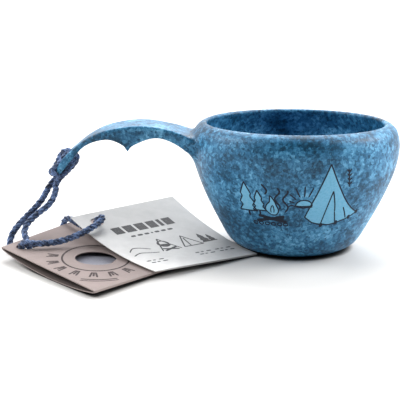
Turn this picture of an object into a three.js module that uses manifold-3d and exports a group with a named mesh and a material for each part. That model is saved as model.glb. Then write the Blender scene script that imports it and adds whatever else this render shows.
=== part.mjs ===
// A moulded drinking cup with a two-finger handle, its carrying cord, and the
// card sleeve and folded leaflet that are threaded on the cord.
// Units are millimetres. The origin is the centre of the cup's flat base, +Z is
// up, and the handle points along -X.
import * as THREE from 'three';
import { mergeVertices } from 'three/addons/utils/BufferGeometryUtils.js';
import Module from 'manifold-3d';

const wasm = await Module();
wasm.setup();

// Driving dimensions of the cup.
const BASE_RADIUS = 22.5;
const BELLY_RADIUS = 50;
const BELLY_HEIGHT = 50.5;
const CUP_HEIGHT = 61.6;
const RIM_CREST_RADIUS = 43.9;
const MOUTH_RADIUS = 42.6;
const FLOOR_THICKNESS = 4.6;
const CUP_SEGMENTS = 72;
const OUTER_STEPS = 26;
const INNER_STEPS = 20;

// Handle, seen from the side: x along the cup's length, z up.
const HANDLE_TIP = [-117, 34.6];
const HANDLE_CREST = [-74.2, 60.9];
const SPIKE_TIP = [-80.3, 49];
const HANDLE_ROOT_X = -38;
const HANDLE_CUTS = { across: 60, up: 80, along: 130 };
const EYE_CENTRE = [-109, 45.1];
const EYE_RADIUS = 4.3;
const EYE_DEPTH = 16;
const EYE_TILT = Math.atan2(0.804, 0.595);
const CURVE_STEPS = 3;

// Cord: a hitch through the handle's eye, two free strands and the knot that joins them.
const CORD_RADIUS = 1.6;
const CORD_ARC_STEPS = 4;
const HITCH_WIDTH = 4 * CORD_RADIUS + 0.4;
const KNOT_CENTRE = [-98.6, -4.2, 9.1];
const KNOT_REACH = [4.1, 3.9, 2.3];
const FRONT_STRAND_STEPS = 48;
const RETURN_STRAND_STEPS = 40;

// Card sleeve: a flattened tube of thin card, open at both ends. Its corners are those of
// the upper sheet, at the open end and then at the far end.
const CARD_THICKNESS = 0.45;
const SLEEVE_CORNERS = points3([
  [-139, -27, 6], [-89.2, -83.6, 3.3], [-99.4, 22.9, 10.4], [-49.6, -34.1, 1.6],
]);
const SLEEVE_SAG = 2.2;
const SLEEVE_BULGE = { open: 3.4, far: 1.1 };
const SLEEVE_STEPS = [10, 16];
const FOLD_MARGIN = 0.02;
const SLEEVE_HOLE = { x: -127.7, y: -26, radius: 4.6 };
const SLEEVE_WINDOW = { x: -93.6, y: -38.4, radius: 9.5 };
const WINDOW_CLEARANCE = 0.2;

// Leaflet: a folded sheet that curls up at its threaded edge. Its corners are those of the
// upper face, at the threaded edge and then at the lying edge.
const LEAFLET_THICKNESS = 0.7;
const LEAFLET_CORNERS = points3([
  [-109, -7.3, 15.5], [-60.6, 35.9, 16], [-65.5, -57.1, 3.8], [-18.7, -20.4, 0.9],
]);
const LEAFLET_CURL = { left: 2.1, right: 1.75 };
const LEAFLET_STEPS = [6, 14];
const LEAFLET_HOLE = { x: -96.2, y: -6.3, radius: 3.2 };

// Heights that a vertical cutter reaches, below and above every sheet.
const CUT_LOW = -5;
const CUT_HIGH = 30;

const finishes = {
  cup: new THREE.MeshStandardMaterial({ color: 0x4f82a8, roughness: 0.45, metalness: 0 }),
  cord: new THREE.MeshStandardMaterial({ color: 0x2b3d63, roughness: 0.9, metalness: 0 }),
  kraft: new THREE.MeshStandardMaterial({ color: 0xc3b3ac, roughness: 0.85, metalness: 0 }),
  paper: new THREE.MeshStandardMaterial({ color: 0xe8e8e6, roughness: 0.7, metalness: 0 }),
};

function toSolid(geometry) {
  const bare = geometry.index ? geometry.toNonIndexed() : geometry.clone();
  bare.deleteAttribute('normal');
  bare.deleteAttribute('uv');
  const merged = mergeVertices(bare, 1e-4);
  const vertProperties = new Float32Array(merged.attributes.position.array);
  const triVerts = new Uint32Array(merged.index.array);
  return new wasm.Manifold(new wasm.Mesh({ numProp: 3, vertProperties, triVerts }));
}

function toGeometry(solid) {
  const mesh = solid.getMesh();
  const geometry = new THREE.BufferGeometry();
  geometry.setAttribute('position', new THREE.Float32BufferAttribute(mesh.vertProperties, 3));
  geometry.setIndex(Array.from(mesh.triVerts));
  geometry.computeVertexNormals();
  return geometry;
}

function namedMesh(name, geometry, material) {
  const mesh = new THREE.Mesh(geometry, material);
  mesh.name = name;
  return mesh;
}

function points2(pairs) {
  return pairs.map(([x, y]) => new THREE.Vector2(x, y));
}

function points3(triples) {
  return triples.map(([x, y, z]) => new THREE.Vector3(x, y, z));
}

// A closed body between two surfaces over the same unit square.
function solidBetween(upper, lower, stepsU, stepsV) {
  const positions = [];
  const index = [];
  const row = stepsV + 1;
  const layer = row * (stepsU + 1);
  for (const surface of [upper, lower]) {
    for (let i = 0; i <= stepsU; i += 1) {
      for (let j = 0; j <= stepsV; j += 1) {
        positions.push(...surface(i / stepsU, j / stepsV).toArray());
      }
    }
  }
  const quad = (a, b, c, d) => index.push(a, b, c, a, c, d);
  for (let i = 0; i < stepsU; i += 1) {
    for (let j = 0; j < stepsV; j += 1) {
      const a = i * row + j;
      quad(a, a + 1, a + row + 1, a + row);
      quad(layer + a, layer + a + row, layer + a + row + 1, layer + a + 1);
    }
  }
  for (let i = 0; i < stepsU; i += 1) {
    const near = i * row;
    const far = near + stepsV;
    quad(near, near + row, layer + near + row, layer + near);
    quad(far, layer + far, layer + far + row, far + row);
  }
  for (let j = 0; j < stepsV; j += 1) {
    const near = j;
    const far = stepsU * row + j;
    quad(near, layer + near, layer + near + 1, near + 1);
    quad(far, far + 1, layer + far + 1, layer + far);
  }
  const geometry = new THREE.BufferGeometry();
  geometry.setAttribute('position', new THREE.Float32BufferAttribute(positions, 3));
  geometry.setIndex(index);
  return geometry;
}

// The same body whichever way round its corners run.
function outwardSolid(upper, lower, [stepsU, stepsV]) {
  const solid = toSolid(solidBetween(upper, lower, stepsU, stepsV));
  return solid.volume() > 0 ? solid : toSolid(solidBetween(lower, upper, stepsU, stepsV));
}

function extruded(shape, depth) {
  return new THREE.ExtrudeGeometry(shape, { depth, bevelEnabled: false, curveSegments: CURVE_STEPS });
}

// The cup's wall: a turned outer curve, a rounded rim and an inner curve.
function outerProfile() {
  const curve = new THREE.SplineCurve(points2([
    [BASE_RADIUS, 0], [26.3, 1.15], [31.6, 4.8], [36.8, 13.6], [43.1, 26.2], [48.3, 39.7],
    [BELLY_RADIUS, BELLY_HEIGHT], [48.9, 57.5], [47.1, 60.4], [RIM_CREST_RADIUS, CUP_HEIGHT],
  ]));
  return curve.getPoints(OUTER_STEPS);
}

function innerProfile() {
  const curve = new THREE.SplineCurve(points2([
    [RIM_CREST_RADIUS, CUP_HEIGHT], [MOUTH_RADIUS, 60.4], [43.9, 56.6], [45.9, 50], [44.5, 39.7],
    [39.2, 26.6], [32.4, 14.6], [25, 7.6], [12, FLOOR_THICKNESS + 0.3], [0, FLOOR_THICKNESS],
  ]));
  return curve.getPoints(INNER_STEPS);
}

function turned(outline) {
  const body = new THREE.LatheGeometry(outline, CUP_SEGMENTS);
  body.rotateX(Math.PI / 2);
  return toSolid(body);
}

function cupShell() {
  const outline = [new THREE.Vector2(0, 0), ...outerProfile(), ...innerProfile().slice(1)];
  return turned(outline);
}

function cupCavity() {
  const above = CUP_HEIGHT + 10;
  const inner = innerProfile().slice(1).reverse();
  const top = [new THREE.Vector2(MOUTH_RADIUS, above), new THREE.Vector2(0, above)];
  return turned([...inner, ...top]);
}

// The handle is its side view extruded across, trimmed to its plan and front views.
function handleSideShape() {
  const shape = new THREE.Shape();
  shape.moveTo(HANDLE_ROOT_X, 54.6);
  shape.splineThru(points2([
    [-49.5, 55.6], [-59.7, 58.8], HANDLE_CREST, [-89, 59], [-99, 54.9],
    [-107.9, 48.2], [-112.9, 43.2], [-116.2, 37.1], HANDLE_TIP,
  ]));
  shape.lineTo(-115.5, 33.8);
  shape.splineThru(points2([[-108.2, 42.9], [-100.7, 50.7], [-90.6, 54], [-83.4, 51.9], SPIKE_TIP]));
  shape.splineThru(points2([[-77.2, 51.6], [-66.3, 54.9], [-54.3, 50.1], [-48.9, 43], [-46, 36],
    [HANDLE_ROOT_X, 30]]));
  shape.closePath();
  return shape;
}

function handlePlanShape() {
  const near = [[HANDLE_ROOT_X, 17], [-46, 17.4], [-51, 15.8], [-56, 13.9], [-62, 12.5],
    [-77, 12.5], [-91, 11.6], [-104, 7.6], [-112, 5.6], [-116.4, 3.6]];
  const far = near.map(([x, y]) => [x, -y]).reverse();
  const shape = new THREE.Shape();
  shape.moveTo(...near[0]);
  shape.splineThru(points2([...near.slice(1), [-118, 0]]));
  shape.splineThru(points2(far));
  shape.closePath();
  return shape;
}

function handleFrontShape() {
  const near = [[5, 33], [6.5, 36], [8.5, 39.5], [11.5, 44], [14.5, 48.5], [17.5, 52], [20, 56], [20, 64]];
  const far = near.map(([y, z]) => [-y, z]).reverse();
  return new THREE.Shape(points2([...near, ...far]));
}

function handleSolid() {
  const side = extruded(handleSideShape(), HANDLE_CUTS.across);
  side.rotateX(Math.PI / 2);
  side.translate(0, HANDLE_CUTS.across / 2, 0);
  const plan = extruded(handlePlanShape(), HANDLE_CUTS.up);
  const front = extruded(handleFrontShape(), HANDLE_CUTS.along);
  front.rotateX(Math.PI / 2);
  front.rotateZ(Math.PI / 2);
  front.translate(-HANDLE_CUTS.along, 0, 0);
  return toSolid(side).intersect(toSolid(plan)).intersect(toSolid(front));
}

function cordEye() {
  const hole = new THREE.CylinderGeometry(EYE_RADIUS, EYE_RADIUS, EYE_DEPTH, 20);
  hole.rotateZ(EYE_TILT);
  hole.rotateX(Math.PI / 2);
  hole.translate(EYE_CENTRE[0], 0, EYE_CENTRE[1]);
  return toSolid(hole);
}

function cupBody() {
  const handle = handleSolid().subtract(cupCavity());
  return toGeometry(cupShell().add(handle).subtract(cordEye()));
}

// The hitch: two strands side by side that pass through the eye and round the tip.
function hitchShape() {
  const shape = new THREE.Shape();
  shape.moveTo(-112.2, 49.4);
  shape.splineThru(points2([[-117, 46.8], [-119.6, 41.6], [-120, 36.2], [-117.8, 32.2],
    [-113.4, 32], [-107.4, 35.6], [-104.3, 40.8], [-105.2, 44.6], [-107.3, 46.2]]));
  shape.lineTo(-109.9, 48.4);
  shape.closePath();
  const inside = new THREE.Path();
  inside.moveTo(-111.6, 45.5);
  inside.splineThru(points2([[-113.3, 43.6], [-115.4, 40.2], [-116.8, 37.2], [-117.6, 34.3]]));
  inside.lineTo(-115.6, 33.1);
  inside.splineThru(points2([[-113.1, 35.7], [-110.2, 39.2], [-108.2, 42.1]]));
  inside.closePath();
  shape.holes.push(inside);
  return shape;
}

function hitchGeometry() {
  const geometry = extruded(hitchShape(), HITCH_WIDTH);
  geometry.rotateX(Math.PI / 2);
  geometry.translate(0, HITCH_WIDTH / 2, 0);
  return geometry;
}

// The cord's two free strands, from the hitch to the knot under the leaflet.
const FRONT_ROUTE = [
  [-119.4, 0.2, 30.2], [-120.9, -1.7, 27.4], [-123.3, -3.4, 23.2], [-126.7, -5.1, 19.3],
  [-130.9, -6.9, 15.2], [-134.5, -8.8, 11.5], [-137.1, -10.8, 7.6], [-137.8, -13.4, 3.7],
  [-136.2, -16.9, 1.9], [-133.4, -20.6, 1.8], [-130.9, -24, 2.6], [-129.8, -26.6, 5],
  [-129.3, -28, 7.4], [-127.1, -29.6, 8.9], [-123.4, -30.4, 8.6], [-118.4, -29.2, 8.4],
  [-112.8, -27, 8.5], [-107.1, -24.6, 9.7], [-101.4, -21.6, 11.5], [-97.4, -17.8, 13],
  [-94.5, -13.4, 14.2], [-93.2, -9.6, 15.2], [-94, -7, 15.4], [-96, -6, 13.9], [-97, -5.4, 12.4],
];

const RETURN_ROUTE = [
  [-103.5, -3.3, 9.8], [-106.4, -0.8, 10.7], [-109.2, 2.2, 11.4], [-111.6, 4.9, 11.7],
  [-113.6, 7.2, 10.6], [-114.8, 8.6, 8], [-115.2, 8.6, 5.2], [-115.4, 6.4, 2.6], [-116.4, 2.4, 1.8],
  [-118.6, -3, 1.8], [-121.4, -9, 1.8], [-123.8, -15, 1.8], [-125.5, -20.8, 1.8], [-126.3, -23.6, 3.2],
  [-127, -24.2, 6.4], [-128.3, -21.9, 9.1], [-129.5, -18.8, 11], [-129, -15.6, 13.6],
  [-126.6, -12.9, 16.3], [-123.4, -10.5, 18.8], [-120, -8.1, 21.1], [-117.3, -5.8, 24.6],
  [-116.3, -3.4, 28], [-116.4, -2, 30.4],
];

function cordSection() {
  const section = new THREE.Shape();
  section.absarc(0, 0, CORD_RADIUS, 0, 2 * Math.PI, false);
  return section;
}

function cordTube(route, steps) {
  return new THREE.ExtrudeGeometry(cordSection(), {
    steps, bevelEnabled: false, curveSegments: CORD_ARC_STEPS,
    extrudePath: new THREE.CatmullRomCurve3(points3(route)),
  });
}

function knotGeometry() {
  const knot = new THREE.SphereGeometry(1, 14, 10);
  knot.scale(...KNOT_REACH);
  knot.translate(...KNOT_CENTRE);
  return knot;
}

function between(a, b, t) {
  return new THREE.Vector3().lerpVectors(a, b, t);
}

function sleeveTop(u, v) {
  const [openBack, openFront, farBack, farFront] = SLEEVE_CORNERS;
  const point = between(between(openBack, farBack, u), between(openFront, farFront, u), v);
  point.z -= SLEEVE_SAG * u * 4 * v * (1 - v);
  return point;
}

function sleeveHeight(u, v) {
  const bulge = SLEEVE_BULGE.open + (SLEEVE_BULGE.far - SLEEVE_BULGE.open) * Math.sqrt(u);
  return 2 * CARD_THICKNESS + bulge * Math.sin(Math.PI * v) ** 0.7;
}

function sleeveBottom(u, v) {
  const point = sleeveTop(u, v);
  point.z -= sleeveHeight(u, v);
  return point;
}

function raised(surface, offset) {
  return (u, v) => {
    const point = surface(u, v);
    point.z += offset;
    return point;
  };
}

// A surface kept clear of the side folds and carried out past both open ends.
function insideFolds(surface) {
  const beyond = 0.04;
  const along = SLEEVE_CORNERS[2].clone().sub(SLEEVE_CORNERS[0]).setZ(0);
  return (u, v) => {
    const point = surface(u, FOLD_MARGIN + (1 - 2 * FOLD_MARGIN) * v);
    if (u <= 0) point.addScaledVector(along, -beyond);
    if (u >= 1) point.addScaledVector(along, beyond);
    return point;
  };
}

function verticalCut({ x, y, radius }, sides) {
  const cutter = new THREE.CylinderGeometry(radius, radius, CUT_HIGH - CUT_LOW, sides);
  cutter.rotateX(Math.PI / 2);
  cutter.translate(x, y, (CUT_LOW + CUT_HIGH) / 2);
  return toSolid(cutter);
}

// The window is cut in the upper sheet only.
function windowCut() {
  const upperOnly = outwardSolid(
    raised(sleeveTop, CUT_HIGH), raised(sleeveTop, -CARD_THICKNESS - WINDOW_CLEARANCE), SLEEVE_STEPS,
  );
  return verticalCut(SLEEVE_WINDOW, 32).intersect(upperOnly);
}

function sleeveGeometry() {
  const shell = outwardSolid(sleeveTop, sleeveBottom, SLEEVE_STEPS);
  const top = insideFolds(raised(sleeveTop, -CARD_THICKNESS));
  const bottom = insideFolds(raised(sleeveBottom, CARD_THICKNESS));
  const hollow = outwardSolid(top, bottom, SLEEVE_STEPS);
  const threaded = verticalCut(SLEEVE_HOLE, 20);
  return toGeometry(shell.subtract(hollow).subtract(threaded).subtract(windowCut()));
}

function leafletTop(u, v) {
  const [raisedLeft, raisedRight, lyingLeft, lyingRight] = LEAFLET_CORNERS;
  const threaded = between(raisedLeft, raisedRight, u);
  const lying = between(lyingLeft, lyingRight, u);
  const point = between(threaded, lying, v);
  const curl = LEAFLET_CURL.left + (LEAFLET_CURL.right - LEAFLET_CURL.left) * u;
  point.z = lying.z + (threaded.z - lying.z) * (1 - v) ** curl;
  return point;
}

function leafletGeometry() {
  const sheet = outwardSolid(leafletTop, raised(leafletTop, -LEAFLET_THICKNESS), LEAFLET_STEPS);
  return toGeometry(sheet.subtract(verticalCut(LEAFLET_HOLE, 20)));
}

const cup = new THREE.Group();
cup.add(namedMesh('cup_body', cupBody(), finishes.cup));
cup.add(namedMesh('cord_hitch', hitchGeometry(), finishes.cord));
cup.add(namedMesh('cord_front_strand', cordTube(FRONT_ROUTE, FRONT_STRAND_STEPS), finishes.cord));
cup.add(namedMesh('cord_return_strand', cordTube(RETURN_ROUTE, RETURN_STRAND_STEPS), finishes.cord));
cup.add(namedMesh('cord_knot', knotGeometry(), finishes.cord));
cup.add(namedMesh('card_sleeve', sleeveGeometry(), finishes.kraft));
cup.add(namedMesh('leaflet', leafletGeometry(), finishes.paper));

export default cup;
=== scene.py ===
"""A moulded drinking cup with a two-finger handle, its twisted carrying cord, and the card
sleeve and folded leaflet that are threaded on the cord.

Outlines are written in millimetres in the CAD frame: the origin is the centre of the cup's
flat base, +Z is up and the handle points along -X. MM turns them into metres.
"""

import math

import bmesh
import bpy
import numpy as np
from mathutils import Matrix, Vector
from mathutils.bvhtree import BVHTree
from mathutils.kdtree import KDTree


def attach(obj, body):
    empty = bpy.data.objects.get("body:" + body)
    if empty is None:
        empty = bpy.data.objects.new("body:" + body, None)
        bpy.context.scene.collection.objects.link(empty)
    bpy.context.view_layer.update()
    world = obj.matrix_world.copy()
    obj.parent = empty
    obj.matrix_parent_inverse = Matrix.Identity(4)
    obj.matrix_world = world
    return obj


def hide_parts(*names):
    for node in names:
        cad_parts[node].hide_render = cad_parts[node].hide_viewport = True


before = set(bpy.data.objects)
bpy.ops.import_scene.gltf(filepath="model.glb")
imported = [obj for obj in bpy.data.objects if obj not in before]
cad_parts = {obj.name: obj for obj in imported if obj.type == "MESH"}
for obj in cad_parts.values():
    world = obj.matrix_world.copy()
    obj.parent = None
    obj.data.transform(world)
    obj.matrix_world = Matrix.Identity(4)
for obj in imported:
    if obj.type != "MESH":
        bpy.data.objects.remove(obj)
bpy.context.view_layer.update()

MM = 0.001
random = np.random.default_rng(20)

# -------- dimensions, in millimetres

BASE_RADIUS = 22.5
CUP_HEIGHT = 61.6
RIM_CREST_RADIUS = 43.9
MOUTH_RADIUS = 42.6
FLOOR_THICKNESS = 4.6
OUTER_PROFILE = [
    (BASE_RADIUS, 0), (26.3, 1.15), (31.6, 4.8), (36.8, 13.6), (43.1, 26.2), (48.3, 39.7),
    (50, 50.5), (48.8, 57.3), (46.8, 60), (RIM_CREST_RADIUS, CUP_HEIGHT),
]
INNER_PROFILE = [
    (RIM_CREST_RADIUS, CUP_HEIGHT), (MOUTH_RADIUS, 60.4), (43.9, 56.6), (45.9, 50), (44.5, 39.7),
    (39.2, 26.6), (32.4, 14.6), (25, 7.6), (12, FLOOR_THICKNESS + 0.3), (0, FLOOR_THICKNESS),
]

HANDLE_ROOT_X = -38
SPIKE_TIP = (-80.3, 48.5)
HANDLE_TOP = [
    (HANDLE_ROOT_X, 54.6), (-49.5, 55.6), (-59.7, 58.8), (-74.2, 60.9), (-89, 59), (-99, 54.9),
    (-107.9, 48.2), (-112.9, 43.2), (-116.2, 37.1), (-117, 34.6),
]
OUTER_FINGER_ARCH = [
    (-115.5, 33.8), (-108.2, 42.9), (-100.7, 50.7), (-90.6, 54), (-83.4, 51.9), SPIKE_TIP,
]
INNER_FINGER_ARCH = [
    SPIKE_TIP, (-77.2, 51.6), (-66.3, 54.9), (-54.3, 50.1), (-48.9, 43), (-46, 36),
    (HANDLE_ROOT_X, 30),
]
HANDLE_PLAN = [
    (HANDLE_ROOT_X, 17), (-46, 17.4), (-51, 15.8), (-56, 13.9), (-62, 12.5), (-77, 12.5),
    (-91, 11.6), (-104, 7.6), (-112, 5.6), (-116.4, 3.6), (-118, 0),
]
HANDLE_FRONT = [(5, 33), (6.5, 36), (8.5, 39.5), (11.5, 44), (14.5, 48.5), (17.5, 52), (20, 56), (20, 64)]
EYE_CENTRE = (-109, 45.1)
EYE_RADIUS = 4.3
EYE_AXIS = (-0.804, 0.595)
SKIN_STEP = 0.55
FILLET_REACH = 5.5
FILLET_ROUNDS = 90

CORD_DIAMETER = 3.2
CORD_LAY = 8.5
CORD_POINT_SPACING = 0.4
YARNS_IN_PLY = 4
YARN_RIDGE = 0.10
YARN_TURN = 2.6
FLOOR_CLEARANCE = 0.05
FRONT_ROUTE = [
    (-119.4, 0.2, 30.2), (-120.9, -1.7, 27.4), (-123.3, -3.4, 23.2), (-126.7, -5.1, 19.3),
    (-130.9, -6.9, 15.2), (-134.5, -8.8, 11.5), (-137.1, -10.8, 7.6), (-137.8, -13.4, 3.7),
    (-136.2, -16.9, 1.9), (-133.4, -20.6, 1.8), (-130.9, -24, 2.6), (-129.8, -26.6, 5),
    (-129.3, -28, 7.4), (-127.1, -29.6, 8.9), (-123.4, -30.4, 8.6), (-118.4, -29.2, 8.4),
    (-112.8, -27, 8.5), (-107.1, -24.6, 9.7), (-101.4, -21.6, 11.5), (-97.4, -17.8, 13),
    (-94.5, -13.4, 14.2), (-93.2, -9.6, 15.2), (-94, -7, 15.4), (-96, -6, 13.9), (-97, -5.4, 12.4),
]
RETURN_ROUTE = [
    (-103.5, -3.3, 9.8), (-106.4, -0.8, 10.7), (-109.2, 2.2, 11.4), (-111.6, 4.9, 11.7),
    (-113.6, 7.2, 10.6), (-114.8, 8.6, 8.0), (-115.2, 8.6, 5.2), (-115.4, 6.4, 2.6), (-116.4, 2.4, 1.8),
    (-118.6, -3, 1.8), (-121.4, -9, 1.8), (-123.8, -15, 1.8), (-125.5, -20.8, 1.8), (-126.3, -23.6, 3.2),
    (-127, -24.2, 6.4), (-128.3, -21.9, 9.1), (-129.5, -18.8, 11), (-129, -15.6, 13.6),
    (-126.6, -12.9, 16.3), (-123.4, -10.5, 18.8), (-120, -8.1, 21.1), (-117.3, -5.8, 24.6),
    (-116.3, -3.4, 28), (-116.4, -2, 30.4),
]
# A girth hitch: up through the eye, over the handle's tip, across below it and back the same way.
HITCH_ROUTE = [
    (-119.4, 0.6, 30.2), (-118, 1.4, 31.8), (-115.8, 1.7, 33), (-113.2, 1.8, 34.9),
    (-110.5, 1.8, 37.4), (-108, 1.8, 40), (-106.4, 1.8, 42.6), (-106.7, 1.8, 44.6),
    (-108.4, 1.9, 45.6), (-110.2, 1.9, 46.5), (-111.7, 2, 46.5), (-113.3, 2.1, 45.4),
    (-114.5, 2.2, 43.6), (-115.6, 2.5, 41.3), (-116.7, 3, 39.4), (-117.6, 4, 37.8),
    (-116.9, 5, 36.6), (-115.2, 4.6, 35.6), (-113.9, 2.6, 34.7), (-113.6, 0, 34.3),
    (-113.9, -2.6, 34.7), (-115.3, -4.6, 35.7), (-117, -4.9, 36.5), (-118, -3.8, 37.4),
    (-116.6, -3, 38.6), (-114.7, -2.6, 40.4), (-113.1, -2.3, 42.4), (-111.9, -2.1, 44.2),
    (-110.6, -1.9, 45.4), (-109.2, -1.8, 45.2), (-107.9, -1.8, 44.2), (-107.3, -1.8, 42.9),
    (-108.2, -1.8, 41), (-110, -1.9, 38.7), (-112.2, -2, 36.4), (-114.2, -2, 34),
    (-115.5, -1.9, 32.3), (-116.4, -2, 30.4),
]
KNOT_CENTRE = (-98.6, -4.2, 9.1)
KNOT_REACH = (4.1, 3.9, 2.3)

CARD_THICKNESS = 0.45
SLEEVE_SAG = 2.2
SLEEVE_HOLE = (-127.7, -26, 4.6)
HOLE_SHEETS_PART = 5.3
STRAND_HOLES = [(-130, -26.1), (-126.6, -23.85)]
STRAND_HOLE_RADIUS = 1.9
SLEEVE_WINDOW = (-93.6, -38.4, 9.5)
WINDOW_SHEETS_PART = 2.9
SLEEVE_CORNERS = np.array([(-139, -27, 6), (-89.2, -83.6, 3.3), (-99.4, 22.9, 10.4), (-49.6, -34.1, 1.6)])

LEAFLET_THICKNESS = 0.7
LEAFLET_HOLE = (-96.2, -6.3, 3.2)
LEAFLET_CORNERS = np.array([(-109, -7.3, 15.5), (-60.6, 35.9, 16), (-65.5, -57.1, 3.8), (-18.7, -20.4, 0.9)])
CURL_LEFT = 2.1
CURL_RIGHT = 1.75


# -------- curves and meshes

def spline(points, per_span):
    """Points along a uniform Catmull-Rom curve through the given ones."""
    knots = np.asarray(points, float)
    padded = np.vstack([knots[:1], knots, knots[-1:]])
    w = (np.arange(per_span) / per_span)[:, None]
    spans = []
    for a, b, c, d in zip(padded[:-3], padded[1:-2], padded[2:-1], padded[3:]):
        leave = (c - a) / 2
        arrive = (d - b) / 2
        cubic = 2 * b - 2 * c + leave + arrive
        square = -3 * b + 3 * c - 2 * leave - arrive
        spans.append(cubic * w**3 + square * w**2 + leave * w + b)
    return np.vstack([*spans, knots[-1:]])


def even_line(points, spacing):
    """The same line with its points an even distance apart."""
    steps = np.linalg.norm(np.diff(points, axis=0), axis=1)
    along = np.concatenate([[0], np.cumsum(steps)])
    stations = np.linspace(0, along[-1], max(3, round(along[-1] / spacing) + 1))
    return np.stack([np.interp(stations, along, points[:, k]) for k in range(points.shape[1])], 1)


def cord_line(points, spacing):
    """A centripetal Catmull-Rom curve through the points, evenly spaced."""
    knots = np.asarray(points, float)
    padded = np.vstack([2 * knots[0] - knots[1], knots, 2 * knots[-1] - knots[-2]])
    spans = []
    for a, b, c, d in zip(padded[:-3], padded[1:-2], padded[2:-1], padded[3:]):
        times = np.cumsum([0] + [math.sqrt(np.linalg.norm(q - p)) for p, q in ((a, b), (b, c), (c, d))])
        t = np.linspace(times[1], times[2], 24, endpoint=False)[:, None]

        def blend(p, q, start, end):
            return ((end - t) * p + (t - start) * q) / (end - start)

        ab = blend(a, b, times[0], times[1])
        bc = blend(b, c, times[1], times[2])
        cd = blend(c, d, times[2], times[3])
        left = blend(ab, bc, times[0], times[2])
        right = blend(bc, cd, times[1], times[3])
        spans.append(blend(left, right, times[1], times[2]))
    return even_line(np.vstack([*spans, knots[-1:]]), spacing)


def travelling_frames(line):
    """Tangent, normal and binormal at each point, carried along without twisting."""
    tangents = np.gradient(line, axis=0)
    tangents /= np.linalg.norm(tangents, axis=1)[:, None]
    side = np.cross(tangents[0], (0.3, 0.2, 0.93))
    normals = [side / np.linalg.norm(side)]
    for tangent in tangents[1:]:
        carried = normals[-1] - tangent * np.dot(normals[-1], tangent)
        normals.append(carried / np.linalg.norm(carried))
    normals = np.array(normals)
    return tangents, normals, np.cross(tangents, normals)


def band(low, high, size):
    """Faces between two closed loops of vertices, which start at low and at high."""
    return [(low + k, low + (k + 1) % size, high + (k + 1) % size, high + k) for k in range(size)]


def add_object(name, data):
    obj = bpy.data.objects.new(name, data)
    bpy.context.scene.collection.objects.link(obj)
    return obj


def make_object(name, vertices, faces, uvs=None, smooth=True):
    """A mesh object from millimetre vertices, with one UV pair for each face corner."""
    mesh = bpy.data.meshes.new(name)
    mesh.from_pydata((np.asarray(vertices) * MM).tolist(), [], [list(map(int, f)) for f in faces])
    if uvs is not None:
        layer = mesh.uv_layers.new(name="along_yarn")
        layer.data.foreach_set("uv", np.asarray(uvs, float).ravel())
    mesh.polygons.foreach_set("use_smooth", [smooth] * len(mesh.polygons))
    mesh.update()
    return add_object(name, mesh)


def outward(obj):
    """Turns every face of a closed mesh outwards."""
    work = bmesh.new()
    work.from_mesh(obj.data)
    bmesh.ops.recalc_face_normals(work, faces=work.faces)
    work.to_mesh(obj.data)
    work.free()
    return obj


def apply_modifiers(obj):
    bpy.context.view_layer.update()
    evaluated = obj.evaluated_get(bpy.context.evaluated_depsgraph_get())
    baked = bpy.data.meshes.new_from_object(evaluated)
    old = obj.data
    obj.modifiers.clear()
    obj.data = baked
    bpy.data.meshes.remove(old)
    baked.name = obj.name


def combine(target, tool, operation):
    """Cuts, joins or intersects the target with the tool, which is used up."""
    modifier = target.modifiers.new("combine", "BOOLEAN")
    modifier.operation = operation
    modifier.solver = "EXACT"
    modifier.object = tool
    apply_modifiers(target)
    bpy.data.objects.remove(tool)
    return target


def prism(outline, place, start, end):
    """A closed prism: place(a, b, depth) puts an outline point at a depth."""
    count = len(outline)
    near = [place(a, b, start) for a, b in outline]
    far = [place(a, b, end) for a, b in outline]
    caps = [tuple(range(count)), tuple(range(2 * count - 1, count - 1, -1))]
    return outward(make_object("prism", near + far, band(0, count, count) + caps))


def circle(radius, sides):
    turns = np.linspace(0, 2 * math.pi, sides, endpoint=False)
    return [(radius * math.cos(t), radius * math.sin(t)) for t in turns]


def upright_cylinder(x, y, radius, low, high, sides=64):
    return prism(circle(radius, sides), lambda a, b, depth: (x + a, y + b, depth), low, high)


def lathe(profile, segments):
    """A closed body of revolution; the profile starts and ends on the axis."""
    rings = profile[1:-1]
    vertices = [(0, 0, profile[0][1]), (0, 0, profile[-1][1])]
    for radius, z in rings:
        vertices += [(x, y, z) for x, y in circle(radius, segments)]
    starts = [2 + k * segments for k in range(len(rings))]
    faces = [face for low, high in zip(starts, starts[1:]) for face in band(low, high, segments)]
    for i in range(segments):
        j = (i + 1) % segments
        faces += [(0, 2 + j, 2 + i), (1, starts[-1] + i, starts[-1] + j)]
    return outward(make_object("lathe", vertices, faces))


def joined(name, parts):
    """One mesh from several objects, which are used up."""
    work = bmesh.new()
    for part in parts:
        work.from_mesh(part.data)
        bpy.data.objects.remove(part)
    mesh = bpy.data.meshes.new(name)
    work.to_mesh(mesh)
    work.free()
    return add_object(name, mesh)


def smoothstep(low, high, value):
    t = np.clip((value - low) / (high - low), 0, 1)
    return t * t * (3 - 2 * t)


# -------- materials

def new_material(name, roughness, sheen=0.0):
    material = bpy.data.materials.new(name)
    material.use_nodes = True
    tree = material.node_tree
    shader = tree.nodes["Principled BSDF"]
    shader.inputs["Roughness"].default_value = roughness
    shader.inputs["Sheen Weight"].default_value = sheen
    return material, tree, shader


def node(tree, kind, **inputs):
    """A shader node with its inputs set: a socket is linked and a number is stored."""
    made = tree.nodes.new(kind)
    for key, value in inputs.items():
        if not hasattr(made, key):
            socket = made.inputs[int(key[1:])] if key[0] == "i" and key[1:].isdigit() else made.inputs[key]
            if isinstance(value, bpy.types.NodeSocket):
                tree.links.new(value, socket)
            else:
                socket.default_value = value
        else:
            setattr(made, key, value)
    return made


def noise(tree, place, scale, detail=4.0, rough=0.55, distortion=0.0):
    return node(tree, "ShaderNodeTexNoise", Vector=place, Scale=scale, Detail=detail,
                Roughness=rough, Distortion=distortion)


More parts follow.
